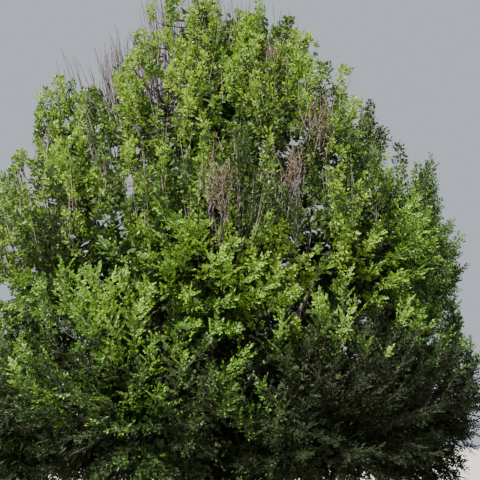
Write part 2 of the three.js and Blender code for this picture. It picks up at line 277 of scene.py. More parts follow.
def lay_out():
    """The masses of all tiers, each with its middle, its half sizes and its own directions."""
    laid = []
    for row, tier in enumerate(TIERS):
        for place in range(tier["count"]):
            seed = 10 * row + place + 1
            name = tier["name"] if tier["count"] == 1 else f"{tier['name']}_{place + 1}"
            more_radius, more_height = SPIRES.get(name, (0, 0))
            turn = math.radians(
                tier["turn"] + 360 * place / tier["count"] + SCATTER_TURN * scatter(seed, 1)
            )
            radius = tier["radius"]
            if radius:
                radius = radius + SCATTER_RADIUS * scatter(seed, 2) + more_radius
            step = tier["stagger"] if place % 2 else -tier["stagger"]
            height = tier["height"] + step + SCATTER_HEIGHT * scatter(seed, 3) + more_height
            size = 1 + SCATTER_SIZE * scatter(seed, 4)
            outward = np.array([math.cos(turn), math.sin(turn), 0.0])
            low, high = tier["fork"]
            laid.append(SimpleNamespace(
                tier=tier,
                zone="lower" if tier["name"] in ("skirt", "wall") else "upper",
                seed=seed,
                name=name,
                outward=outward,
                around=np.array([-outward[1], outward[0], 0.0]),
                middle=outward * radius + UP * height,
                half=np.array([tier["out"], tier["across"], tier["up"]]) * size,
                fork=low + (high - low) * ((place * FORK_STEP + FORK_START) % 1),
            ))
    return laid


def shares_of(mass, ways):
    """Each direction's shares along the mass's radius, round the crown and up."""
    return np.stack([ways @ mass.outward, ways @ mass.around, ways[..., 2]], axis=-1)


def wall_between(mass, other):
    """The way to another mass, and how far off the wall between the two stands."""
    way = other.middle - mass.middle
    apart = np.linalg.norm(way)
    way = way / apart
    own = np.linalg.norm(shares_of(mass, way) * mass.half)
    theirs = np.linalg.norm(shares_of(other, way) * other.half)
    return way, apart * own / (own + theirs) - MASS_GAP / 2


def reach(mass, ways, fill=(1, 1, 1), overlap=1.0):
    """How far the mass goes from its middle in each direction, with its corners rounded."""
    sums = np.linalg.norm(shares_of(mass, ways) / (mass.half * fill), axis=-1) ** CORNERS
    for way, far in mass.walls:
        facing = ways @ way
        wall = np.maximum(facing, LEAST_FACING) / (far * overlap)
        sums = sums + np.where(facing > LEAST_FACING, wall, 0) ** CORNERS
    return sums ** (-1 / CORNERS)


def bend_through(start, bend, end, share):
    """Points on the curve from start to end that leaves towards bend, and the ways it runs there."""
    share = np.asarray(share)[..., None]
    points = (1 - share) ** 2 * start + 2 * share * (1 - share) * bend + share ** 2 * end
    ways = unit((1 - share) * (bend - start) + share * (end - bend))
    return points, ways


masses = lay_out()
for mass in masses:
    mass.walls = [wall_between(mass, other) for other in masses if other is not mass]
    mass.walls += [(-mass.outward, mass.tier["inward"]), (-UP, mass.middle[2] - CROWN_FOOT)]
    if mass.tier["radius"]:
        entry = unit(mass.outward * BOUGH_ENTRY[0] + UP * BOUGH_ENTRY[1])
        start = trunk_middle(np.array(mass.fork))
        tip = mass.middle + entry * BOUGH_ENTERS * reach(mass, entry)
        bend = start + (tip - start) * BOUGH_BEND
        bend[2] = start[2] + (tip[2] - start[2]) * BOUGH_SAG
        mass.bough = (start, bend, tip)
        along = unit(tip - bend)
    else:
        tip = trunk_middle(np.array(TRUNK_TOP))
        along = UP
    top = mass.middle + mass.outward * STEM_LEAN * mass.half[0]
    top[2] += STEM_RISE * reach(mass, UP)
    mass.stem = (tip, tip + along * STEM_BEND * np.linalg.norm(top - tip), top)


def limb_points(points, ways, radii, sides, fluting=0.0, seed=0.0):
    """Rings of points round a limb, with the flutes of the bark running along it."""
    steep = np.abs(ways[:1, 2:]) >= NEARLY_UPRIGHT
    side = unit(np.cross(np.where(steep, np.array([1.0, 0.0, 0.0]), UP), ways[:1]))
    across = unit(side - ways * np.sum(side * ways, axis=-1, keepdims=True))
    third = np.cross(ways, across)
    turn = np.linspace(0, 2 * math.pi, sides, endpoint=False)[None, :, None]
    along = np.linspace(0, 1, len(points))[:, None, None]
    waves = [depth * np.sin(count * turn + twist * along + seed) for count, twist, depth in LIMB_FLUTES]
    around = across[:, None] * np.cos(turn) + third[:, None] * np.sin(turn)
    swell = 1 + fluting * sum(waves)
    return (points[:, None] + around * radii[:, None, None] * swell).reshape(-1, 3)


bough_points = []
bough_faces = []
for mass in masses:
    thick, thin = mass.tier["bough"]
    share = np.linspace(0, 1, BOUGH_RINGS)
    stem, stem_ways = bend_through(*mass.stem, share)
    line = [stem]
    ways = [stem_ways]
    radii = [thin + (STEM_TIP_RADIUS - thin) * share]
    if mass.tier["radius"]:
        bough, bough_ways = bend_through(*mass.bough, share)
        line.insert(0, bough[:-1])
        ways.insert(0, bough_ways[:-1])
        radii.insert(0, (thick + (thin - thick) * share)[:-1])
    line = np.concatenate(line)
    wander = np.sin(np.arange(len(line)) * WANDER_STEP + mass.seed)[:, None] * mass.around
    line = line + BOUGH_WANDER * wander * np.sin(np.linspace(0, math.pi, len(line)))[:, None]
    bough_faces.append(tube_faces(len(line), BOUGH_SIDES) + sum(map(len, bough_points)))
    bough_points.append(
        limb_points(line, np.concatenate(ways), np.concatenate(radii), BOUGH_SIDES, BOUGH_FLUTING, mass.seed)
    )

boughs = mesh_piece("bough_bark", np.concatenate(bough_points), np.concatenate(bough_faces), old_bark)
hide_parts(*[f"bough_{mass.name}" for mass in masses if mass.tier["radius"]])

# The branches: finger-thick, fork from each mass's stem by one rule, and end all over its open side.
# Low ones reach out and bow, and high ones climb steeply. Each bears a plume of leafy shoots.
CROWN_HEIGHTS = (0, 0.7, 2.2, 3.4, 4.2, 5.0, 6.6, 7.1, 7.7, 8.2, 8.7, 9.3, 9.95, 10.45, 11.0, 11.5, 12.1)
CROWN_RADII = (5.3, 5.4, 5.43, 5.35, 5.2, 5.1, 4.9, 4.65, 4.2, 4.0, 3.7, 3.55, 2.9, 2.3, 2.1, 1.75, 0.6)
EDGE_TURNS = (0, 45, 90, 135, 180, 220, 240, 260, 270, 282, 287, 300, 309, 335, 360)
EDGE_HEIGHTS = (7.3, 7.0, 6.0, 5.0, 4.3, 4.0, 4.3, 4.8, 4.9, 4.05, 4.1, 4.8, 5.5, 7.0, 7.3)
ANYWHERE = 9.0
OPEN_SIDES = {
    "skirt": dict(tries=520, facing=(1, 0.1), round=-0.25, within=2.2, fill=(1, 1.5, 1.3)),
    "wall": dict(tries=520, facing=(1, 0.35), round=-0.3, within=2.2, fill=(1, 1.4, 1.3)),
    "shoulder": dict(tries=460, facing=(1, 0.7), round=-0.35, within=2.3, fill=(1, 1.3, 1.1)),
    "crest": dict(tries=260, facing=(0.5, 1), round=-0.6, within=ANYWHERE, fill=(1, 1.12, 1)),
    "leader": dict(tries=260, facing=(0, 1), round=-0.7, within=ANYWHERE, fill=(1, 1, 1)),
}
OVERLAP = 1.16
END_SCATTER = 0.03
OUTERMOST = 0.985
DEPTH_SCATTER = 0.07
EDGE_BLUR = 0.3
HOLLOW_DEPTH = {"low": 0.2, "high": 0.33}
HOLLOW_WAVES = (0.27, 0.3)
CLEFT_WAVES = (0.24, 0.28)
SETBACK = 0.24
SETBACK_HEIGHT = 0.7
FOOT_SUNK = 0.1
FOOT_STAYS_OUT = 0.15
FOOT_CLOSER = 0.32
FOOT_HEIGHT = 1.35
APART = {"low": 0.345, "high": 0.385}
APART_SPREAD = (0.75, 1.2)
APART_INSIDE = 0.25
GOLDEN = math.pi * (3 - math.sqrt(5))
STEM_MIDDLE = 0.5
STEM_SHARE = 0.35
STEM_RANGE = (0.2, 0.9)
BRANCH_SWAY = 0.55
BRANCH_RISE = {"low": 1.2, "high": 2.6}
RISE_STARTS = 0.4
RISE_TAKES = 2.2
BRANCH_BEND = 0.5
BRANCH_BASE_RADIUS = 0.019
BRANCH_TIP_RADIUS = 0.004
BRANCH_SIDES = 3
BRANCH_RINGS = 6
NUDGE = 1e-6

# Where sky shows, as ellipses in the picture: middle across and down, half width and half height.
OUTLINE_NOTCHES = (
    (97, 56, 23, 28), (122, 40, 9, 26), (8, 128, 30, 27), (366, 84, 24, 15), (390, 112, 16, 15),
    (411, 146, 9, 17), (161, 14, 6, 16), (225, 8, 7, 17), (271, 8, 6, 14), (305, 20, 7, 12),
    (325, 45, 8, 10), (341, 52, 14, 15),
)
GAPS_AMONG_BARE_SHOOTS = (
    (165, 54, 6, 14), (140, 74, 7, 7), (156, 91, 11, 16), (173, 101, 5, 14), (185, 80, 3, 10),
)
GAPS_AMONG_LEAVES = (
    (33, 153, 7, 8), (27, 177, 6, 9), (130, 187, 6, 15), (74, 206, 6, 8), (85, 246, 7, 12),
    (52, 202, 8, 6), (285, 156, 5, 6), (105, 172, 5, 7), (46, 143, 4, 8), (70, 120, 6, 4),
    (97, 133, 4, 8), (117, 147, 6, 4), (90, 148, 5, 4), (62, 225, 6, 5), (98, 225, 4, 6),
    (12, 250, 8, 5), (300, 82, 3, 5), (322, 155, 4, 6), (338, 158, 4, 5), (150, 216, 3, 6),
    (330, 248, 7, 4), (6, 293, 6, 12), (36, 270, 5, 7), (20, 260, 4, 4), (102, 282, 4, 7),
    (62, 320, 3, 5), (73, 239, 5, 8), (92, 263, 3, 5), (112, 152, 5, 5), (344, 348, 4, 5),
    (372, 385, 5, 3), (393, 390, 4, 4),
)
OPENINGS = OUTLINE_NOTCHES + GAPS_AMONG_BARE_SHOOTS + GAPS_AMONG_LEAVES
OPENING_EDGE = (0.7, 1.0)

# More branch ends close the partings between masses, and form lumps of the outline. A row is the mass,
# its turns, heights and depths, each from and to, the number of tries, and a weight.
PARTINGS = (
    ("shoulder_6", (264, 279), (6.5, 9.3), (0.35, 0.8), 90, 1),
    ("wall_7", (280, 292), (4.3, 5.8), (0.5, 1.6), 80, 0.3),
    ("wall_7", (246, 257), (4.5, 5.2), (0.6, 1.4), 40, 0.3),
    ("wall_7", (264, 274), (3.1, 3.8), (0.3, 1.0), 40, 0.3),
    ("crest_5", (282, 294), (9.9, 10.6), (0.1, 0.5), 40, 0.2),
    ("crest_5", (300, 316), (9.4, 10.1), (0.1, 0.5), 40, 0.2),
    ("wall_6", (200, 214), (6.1, 7.2), (0.0, 0.4), 50, 0.2),
    ("wall_8", (326, 338), (6.4, 7.0), (0.0, 0.3), 40, 0.2),
    ("skirt_6", (242, 257), (1.9, 2.9), (0.5, 1.4), 60, 0.3),
    ("skirt_6", (234, 258), (0.45, 1.2), (0.6, 1.8), 80, 0.3),
)

SCATTER_SEED = 13
dice = np.random.default_rng(SCATTER_SEED)


def open_to_sky(points, size=1.0):
    """Where the crown is open in the picture, so that nothing leafy grows."""
    across, down = in_picture(points)
    open_there = np.zeros(across.shape, dtype=bool)
    for x, y, half_width, half_height in OPENINGS:
        open_there |= ((across - x) / half_width) ** 2 + ((down - y) / half_height) ** 2 < size ** 2
    return open_there


def out_of_openings(leaves):
    """Which leaves stay, once the openings are cleared to a ragged edge."""
    return ~open_to_sky(leaves[:, 0], dice.uniform(*OPENING_EDGE, len(leaves)))


def within_crown(points):
    """How far points lie inside the crown's outline."""
    outline = np.interp(points[..., 2], CROWN_HEIGHTS, CROWN_RADII)
    return outline - np.hypot(points[..., 0], points[..., 1])


def above_edge(points):
    """How far points stand above the lower crown's upper edge."""
    turn = np.degrees(np.arctan2(points[:, 1], points[:, 0])) % 360
    return points[:, 2] - np.interp(turn, EDGE_TURNS, EDGE_HEIGHTS)


# The many numbers in the next two waves have no meaning of their own. They only keep the hollows from
# repeating.
def hollows(points):
    """A wave through the lower crown, from 0 on its lumps to 1 in its hollows, a metre or two apart."""
    x, y, z = points[..., 0], points[..., 1], points[..., 2]
    broad = np.sin(3.1 * x + 1.3 * np.sin(2.3 * z)) * np.sin(2.9 * y - 1.1 * np.sin(1.9 * x))
    broad = broad + np.sin(2.7 * z + 1.7 * np.sin(1.6 * y) + 2.1 * x)
    fine = np.sin(6.3 * x + 4.7 * y + 1.7 * np.sin(3.1 * z)) * np.sin(5.7 * z + 1.3 * np.sin(2.7 * x))
    return np.clip(0.5 + HOLLOW_WAVES[0] * broad + HOLLOW_WAVES[1] * fine, 0, 1)


def clefts(points):
    """The same for the upper crown, where the hollows are upright clefts between steep columns."""
    x, y, z = points[..., 0], points[..., 1], points[..., 2]
    broad = np.sin(5.4 * x + 1.6 * np.sin(0.9 * z) + 0.9) + np.sin(5.1 * y - 1.4 * np.sin(1.1 * z + x))
    broad = broad + 0.7 * np.sin(1.9 * z + 2.3 * x - 1.7 * y)
    fine = np.sin(11.5 * x + 1.9 * np.sin(2.1 * z)) * np.sin(9.7 * y + 4.3 * z + 1.5 * np.sin(3.3 * x))
    return np.clip(0.5 + CLEFT_WAVES[0] * broad + CLEFT_WAVES[1] * fine, 0, 1)


def ends_over(mass):
    """Branch ends spread evenly over a mass's open side, deeper where the crown has hollows."""
    side = OPEN_SIDES[mass.tier["name"]]
    tries = side["tries"]
    order = np.arange(tries)[:, None]
    out, up = side["facing"]
    facing = unit(mass.outward * out + UP * up)
    third = unit(np.cross(facing, mass.around))
    cosine = 1 + (side["round"] - 1) * (order + 0.5) / tries
    sine = np.sqrt(1 - cosine ** 2)
    turn = GOLDEN * order + 2 * math.pi * chance(mass.seed, 5)
    outside = unit(facing * cosine + mass.around * sine * np.cos(turn) + third * sine * np.sin(turn))
    outside = unit(outside + dice.normal(0, END_SCATTER, outside.shape))
    far = reach(mass, outside, side["fill"], OVERLAP)
    full = mass.middle + outside * far[:, None]
    above = above_edge(full)
    high = above > dice.uniform(-EDGE_BLUR, EDGE_BLUR, tries)
    sunk = np.where(high, HOLLOW_DEPTH["high"] * clefts(full), HOLLOW_DEPTH["low"] * hollows(full))
    stays_out = dice.random(tries) < FOOT_STAYS_OUT
    sunk += np.where(stays_out, 0, FOOT_SUNK * np.exp(-((full[:, 2] / FOOT_HEIGHT) ** 2)))
    sunk += np.where(high, SETBACK * np.exp(-np.maximum(above, 0) / SETBACK_HEIGHT), 0)
    depth = OUTERMOST - sunk - DEPTH_SCATTER * dice.random(tries) ** 2
    end = mass.middle + outside * (far * depth)[:, None]
    inside = within_crown(end)
    kept = (inside < side["within"]) & ~open_to_sky(end)
    if side["within"] == ANYWHERE:
        inside = far - np.linalg.norm(end - mass.middle, axis=-1)
    number = np.full(tries, mass.seed)
    return [part[kept] for part in (number, outside, end, high, inside)]


def ends_in(name, turns, heights, depths, tries, weight):
    """Branch ends in one parting, a little set back from the crown's outline."""
    mass = next(mass for mass in masses if mass.name == name)
    turn = np.radians(dice.uniform(*turns, tries))
    height = dice.uniform(*heights, tries)
    set_back = dice.uniform(*depths, tries)
    radius = np.interp(height, CROWN_HEIGHTS, CROWN_RADII) - set_back
    end = np.stack([radius * np.cos(turn), radius * np.sin(turn), height], axis=-1)
    number = np.full(tries, mass.seed)
    return [number, unit(end - mass.middle), end, above_edge(end) > 0, weight * set_back]


# The ends are thinned until they lie evenly over the crown, and further apart deeper inside it.
found = [ends_over(mass) for mass in masses] + [ends_in(*parting) for parting in PARTINGS]
of_mass, outside, end, high, inside = map(np.concatenate, zip(*found))
apart = np.where(high, APART["high"], APART["low"]) + APART_INSIDE * np.maximum(inside, 0)
closer = FOOT_CLOSER * np.exp(-((end[:, 2] / FOOT_HEIGHT) ** 2))
apart *= dice.uniform(*APART_SPREAD, len(apart)) * (1 - closer)
taken = []
for i in np.argsort(inside):
    if not taken or np.min(np.sum((end[taken] - end[i]) ** 2, axis=-1)) > apart[i] ** 2:
        taken.append(i)
taken = np.array(taken)
for mass in masses:
    chosen = taken[of_mass[taken] == mass.seed]
    side, tip, steep = outside[chosen], end[chosen], high[chosen]
    share = np.clip(STEM_MIDDLE + STEM_SHARE * side[:, 2], *STEM_RANGE)
    start, _ = bend_through(*mass.stem, share)
    level = unit(np.cross(side, UP) + NUDGE)
    upward = UP - side * side[:, 2:]
    low_rise = BRANCH_RISE["low"] * np.clip((tip[:, 2] - RISE_STARTS) / RISE_TAKES, 0, 1)
    rise = np.where(steep, BRANCH_RISE["high"], low_rise)[:, None]
    sway = dice.uniform(-1, 1, (len(tip), 1)) * BRANCH_SWAY
    way = unit(side + upward * rise + level * sway)
    length = np.linalg.norm(tip - start, axis=-1, keepdims=True)
    bend = tip - way * BRANCH_BEND * length
    mass.branches = SimpleNamespace(
        start=start, bend=bend, end=tip, outside=side, high=steep, length=length[:, 0]
    )


def joined_tubes(name, tubes, rings, sides, material):
    """One piece from the points of many tubes that all have the same rings and sides."""
    first = np.arange(len(tubes))[:, None, None] * rings * sides
    faces = (tube_faces(rings, sides)[None] + first).reshape(-1, 4)
    return mesh_piece(name, np.concatenate(tubes), faces, material)


branch_points = []
share = np.linspace(0, 1, BRANCH_RINGS)
radii = BRANCH_BASE_RADIUS + (BRANCH_TIP_RADIUS - BRANCH_BASE_RADIUS) * share
for mass in masses:
    branches = mass.branches
    for start, bend, end in zip(branches.start, branches.bend, branches.end):
        line, ways = bend_through(start, bend, end, share)
        branch_points.append(limb_points(line, ways, radii, BRANCH_SIDES))
young_bark = bark("young_bark", (0.065, 0.056, 0.042), (0.034, 0.029, 0.022), (0.12, 0.108, 0.085), 6.0)
joined_tubes("branches", branch_points, BRANCH_RINGS, BRANCH_SIDES, young_bark)

# The leafy shoots of the lower crown: thin as a match, two-ranked and flat like a fern, with the
# small ordinary hornbeam leaf. Their tips bow, and the lowest lie nearly level.
KINDS = 10
SPRAYS = dict(number=14, along=0.95, length=0.32, lean=0.85, flat=0.65, face_up=0.7, hidden_from=1.15)
SPRAY_BOW = 0.1
SPRAY_LEAVES = 10
SPRAY_FIRST_LEAF = 0.1
SPRAY_LEAF_STEP = 0.09
SPRAY_LEAF_WAY = (0.75, 0.72, -0.1)
SPRAY_LEAF_SIZES = (0.8, 1.15)
END_LEAF_WAY = (1, 0, -0.15)
LEAF_SWING = 0.16
LEAF_ROLL = 0.45
END_LEAF_SWING = 0.15
END_LEAF_ROLL = 0.3
END_LEAF_SIZE = 0.9
SIDE_SHOOTS = 2
SIDE_FIRST = 0.12
SIDE_STEP = 0.26
SIDE_ANGLES = (36, 52)
SIDE_TILT = 0.12
SIDE_LENGTH = 0.46
SIDE_SHORTER = 0.4
SIDE_LENGTHS = (0.85, 1.15)
SIDE_LEAVES_AT = (0.4, 0.72)
SIDE_LEAF_WAY = (0.75, 0.7)
SIDE_LEAF_SWING = 0.2
SIDE_LEAF_SIZES = (0.75, 1.1)
FULL_TURN = 6.28
TURN_SCATTER = 0.3
LONGEST_LEAFY_PART = 0.75
LEAN_AT_FOOT = 0.7
LEAN_GAIN = 0.9
PULL_OUT = 0.35
PULL_UP = 0.2
FACE_OUT = 0.7
FACE_SCATTER = 0.25
SHOOT_SIZES = (0.72, 1.2)
FOOT_SIZE = 1.1
TIP_SMALLER = 0.3
LEAFY_MIDDLE = 0.6
HIDDEN_SPREAD = 0.9
TIP_PAST = 1.04
SHORTEST = 0.5
LEAF_LENGTH = 0.066
LEAF_WIDTH = 0.6
LEAF_WIDEST = 0.42
LEAF_FOLD = 0.12
LEAF_ROUGHNESS = 0.45
LEAF_GLOSS = 0.34
LIGHT_THROUGH = 0.25
LOWEST_LEAF = 0.05
SHOOT_RADIUS = 0.004
SIDE_SHOOT_RADIUS = 0.0024
CONE_TURNS = (0.0, 2.09, 4.19)
NEARLY_UP = UP + 0.01


def listed(leaves, sides):
    """One kind of shoot, one unit long, with the places and directions of all that grows on it."""
    bases, ways, normals, sizes = map(np.array, zip(*leaves))
    return SimpleNamespace(sides=np.array(sides), bases=bases, ways=ways, normals=normals, sizes=sizes)


def rough(way, spread):
    return unit(np.asarray(way, dtype=float) + dice.normal(0, spread, 3))


def bowed(point):
    """A place on a level spray, lowered as its tip bows."""
    return point - UP * SPRAY_BOW * (point[0] ** 2 + point[1] ** 2)


def flat_spray():
    """Leaves in two ranks on a shoot and on its side shoots, all nearly in one plane."""
    leaves = []
    sides = []
    forward, aside, down = SPRAY_LEAF_WAY
    for i in range(SPRAY_LEAVES):
        rank = 1 if i % 2 else -1
        base = bowed(np.array([SPRAY_FIRST_LEAF + SPRAY_LEAF_STEP * i, 0, 0]))
        way = rough((forward, aside * rank, down), LEAF_SWING)
        leaves.append((base, way, rough(UP, LEAF_ROLL), dice.uniform(*SPRAY_LEAF_SIZES)))
    way = rough(END_LEAF_WAY, END_LEAF_SWING)
    leaves.append((bowed(np.array([1.0, 0, 0])), way, rough(UP, END_LEAF_ROLL), END_LEAF_SIZE))
    for i in range(SIDE_SHOOTS):
        rank = 1 if i % 2 else -1
        angle = math.radians(dice.uniform(*SIDE_ANGLES))
        way = np.array([math.cos(angle), rank * math.sin(angle), dice.normal(0, SIDE_TILT)])
        base = np.array([SIDE_FIRST + SIDE_STEP * i, 0, 0])
        length = SIDE_LENGTH * (1 - SIDE_SHORTER * base[0]) * dice.uniform(*SIDE_LENGTHS)
        sides.append((bowed(base), bowed(base + way * length)))
        across = unit(np.cross(UP, way))
        for share, turned in zip(SIDE_LEAVES_AT, (-across, across)):
            leaf_way = rough(way * SIDE_LEAF_WAY[0] + turned * SIDE_LEAF_WAY[1], SIDE_LEAF_SWING)
            roll = rough(UP, LEAF_ROLL)
            place = bowed(base + way * length * share)
            leaves.append((place, leaf_way, roll, dice.uniform(*SIDE_LEAF_SIZES)))
        end_way = rough(way, SIDE_LEAF_SWING)
        leaves.append((bowed(base + way * length), end_way, rough(UP, LEAF_ROLL), END_LEAF_SIZE))
    return listed(leaves, sides)


def only(shoots, chosen):
    """The chosen ones of these shoots."""
    return SimpleNamespace(**{key: value[chosen] for key, value in vars(shoots).items()})


def shoots_on(branches, chosen, number, along, length, lean, flat, face_up, hidden_from):
    """Where the shoots on the chosen branches start, which way they go and face, and how long they are."""
    parts = (branches.start, branches.bend, branches.end, branches.outside)
    start, bend, end, outside = [part[chosen][:, None] for part in parts]
    far = branches.length[chosen][:, None]
    shape = (chosen.sum(), number)
    share = (np.arange(number) + dice.random(shape)) / number
    share = 1 - (1 - share) * np.minimum(along / far, LONGEST_LEAFY_PART)
    foot, ways = bend_through(start, bend, end, share)
    turn = GOLDEN * np.arange(number) + FULL_TURN * dice.random((shape[0], 1))
    turn = turn + dice.normal(0, TURN_SCATTER, shape)
    level = unit(np.cross(ways, UP) + NUDGE)
    upper = np.cross(level, ways)
    spread = level * np.cos(turn)[..., None] + upper * (flat * np.sin(turn))[..., None]
    nearer_tip = (share - share.min()) / max(np.ptp(share), NUDGE)
    leaning = (lean * (LEAN_AT_FOOT + LEAN_GAIN * nearer_tip))[..., None]
    way = unit(ways * leaning + spread + outside * PULL_OUT + UP * PULL_UP)
    face = UP * face_up + FACE_OUT * outside + dice.normal(0, FACE_SCATTER, way.shape)
    face = unit(face - way * np.sum(face * way, axis=-1, keepdims=True))
    size = length * dice.uniform(*SHOOT_SIZES, shape) * (FOOT_SIZE - TIP_SMALLER * nearer_tip)
    branch = np.broadcast_to(np.arange(shape[0])[:, None], shape)
    middle = foot + way * size[..., None] * LEAFY_MIDDLE
    kept = dice.uniform(hidden_from, hidden_from + HIDDEN_SPREAD, shape) > within_crown(middle)
    kept &= ~open_to_sky(middle)
    return only(SimpleNamespace(start=foot, way=way, face=face, size=size, branch=branch), kept)


def shortened(mass, shoots):
    """The same shoots, cut back where their tips would stand out of the mass."""
    from_middle = shoots.start + shoots.way * shoots.size[:, None] - mass.middle
    fill = OPEN_SIDES[mass.tier["name"]]["fill"]
    limit = TIP_PAST * reach(mass, unit(from_middle), fill, OVERLAP)
    over = np.linalg.norm(from_middle, axis=-1) - limit
    shoots.size = shoots.size * np.clip(1 - np.maximum(over, 0) / shoots.size, SHORTEST, 1)
    return shoots


def place_pattern(pattern, shoots, leaf_length, leaf_width):
    """The leaves and side shoots of one pattern, set on the shoots that bear it."""
    axes = np.stack([shoots.way, np.cross(shoots.face, shoots.way), shoots.face], axis=1)
    size = shoots.size[:, None, None]
    bases = shoots.start[:, None] + np.einsum("lk,skd->sld", pattern.bases, axes) * size
    ways = np.einsum("lk,skd->sld", pattern.ways, axes)
    normals = np.einsum("lk,skd->sld", pattern.normals, axes)
    across = unit(np.cross(normals, ways))
    normals = np.cross(ways, across)
    length = (leaf_length * pattern.sizes)[None, :, None]
    widest = bases + ways * length * LEAF_WIDEST + normals * length * LEAF_FOLD
    half = across * length * leaf_width / 2
    leaves = np.stack([bases, widest + half, bases + ways * length, widest - half], axis=2)
    sides = np.einsum("pek,skd->sped", pattern.sides, axes) * size[..., None]
    return leaves.reshape(-1, 4, 3), (shoots.start[:, None, None] + sides).reshape(-1, 2, 3)


def leaf_piece(name, leaves, material):
    """One piece from many leaves, each with two faces that meet at its midrib."""
    first = 4 * np.arange(len(leaves))[:, None]
    faces = np.concatenate([first + np.array([0, 1, 2]), first + np.array([0, 2, 3])])
    piece = mesh_piece(name, leaves.reshape(-1, 3), faces, material, smooth=False)
    return piece


def twig_piece(name, lines, radius, material):
    """One piece of three-sided cones, each from its line's start to its end."""
    way = unit(lines[:, 1] - lines[:, 0])
    side = unit(np.cross(way, NEARLY_UP))
    third = np.cross(way, side)
    feet = [lines[:, 0] + radius * (side * math.cos(turn) + third * math.sin(turn)) for turn in CONE_TURNS]
    points = np.stack([*feet, lines[:, 1]], axis=1).reshape(-1, 3)
    first = 4 * np.arange(len(lines))[:, None]
    faces = np.concatenate([first + np.array(corners) for corners in ((0, 1, 3), (1, 2, 3), (2, 0, 3))])
    mesh_piece(name, points, faces, material)


def leaf_finish(name, colour, glow, through=LIGHT_THROUGH, roughness=LEAF_ROUGHNESS, gloss=LEAF_GLOSS):
    """A leaf with a faint gloss that the light shines through a little, yellower than its face."""
    material, shader, nodes, link = plain_finish(name, roughness, gloss)
    shader.inputs["Base Color"].default_value = (*colour, 1)
    lit_through = add_node(nodes, "ShaderNodeBsdfTranslucent", Color=(*glow, 1))
    both = add_node(nodes, "ShaderNodeMixShader", Fac=through)
    link(shader.outputs["BSDF"], both.inputs[1])
    link(lit_through.outputs["BSDF"], both.inputs[2])
    link(both.outputs["Shader"], nodes["Material Output"].inputs["Surface"])
    return material


# How much painted shade each region of the crown gets, in steps of tone. Painted light has a minus sign.
PAINTED_SHADE = dict(
    near_ground=3.1, underside=4.0, behind_edge=0.65, far_left=1.1, under_left=2.4, far_right=1.7,
    between_columns=1.4, on_edge=-0.5, lit_belt=-0.9, lit_top=-1.1,
)
# Their places in metres. A pair is the start and the length of a ramp, or the middle and the half
# width of a bell.
GROUND_SHADE = dict(height=1.6, rise=1.5, right=(-1.5, 3.0))
SHADE_SIDE = dict(right=0.9, back=0.25, front=-5.0, turned=(0.6, 1.6))
UNDERSIDE = dict(top=3.35, ragged=2.0, under=(0.0, 0.8), at_back=0.15, front=(0.0, 2.0))
BEHIND_EDGE = dict(band=0.6, wider=0.5, left=(1.8, 1.5), bands=(0.85, 1.0), less=0.7, right=(0.4, 0.8))
ON_EDGE = (-0.7, 0.7)
FAR_LEFT = dict(left=(1.2, 2.0), under=(-0.5, 1.0))
FAR_RIGHT = (2.4, 1.6)
LIT_BELT = dict(up=(4.0, 0.75), right=(-1.6, 0.8), more=1.3, more_right=(0.5, 0.6))
LIT_TOP = dict(across=(-0.7, 0.8), up=(6.2, 0.8))
COLUMN_GAP = dict(across=(1.4, 1.0), up=(6.0, 1.2))
UNDER_LEFT = dict(height=1.4, rise=0.45, rise_left=(2.3, 1.0), half=0.38, left=(1.0, 0.7))
IN_FRONT = (0.0, 1.0)
CLEFT_SHADE = (2.9, 0.45)
HOLLOW_SHADE = (3.6, 0.44)
EVEN_NEAR_GROUND = 0.6
TONE_LIMITS = (-1.0, -0.15, 0.65, 1.7, 3.1)
TONE_BY_BRANCH = 0.48
TONE_BY_SHOOT = 0.45
TONE_BY_LEAF = 0.85
TIP_GAIN = 0.9
TIP_FROM = 0.55
LOWER_LIFT = 0.38


def bell(measure, middle, half):
    """1 at the middle, falling off smoothly to both sides."""
    return np.exp(-(((measure - middle) / half) ** 2))


def ramp(measure, start, length):
    """0 up to the start, then rising evenly to 1."""
    return np.clip((measure - start) / length, 0, 1)


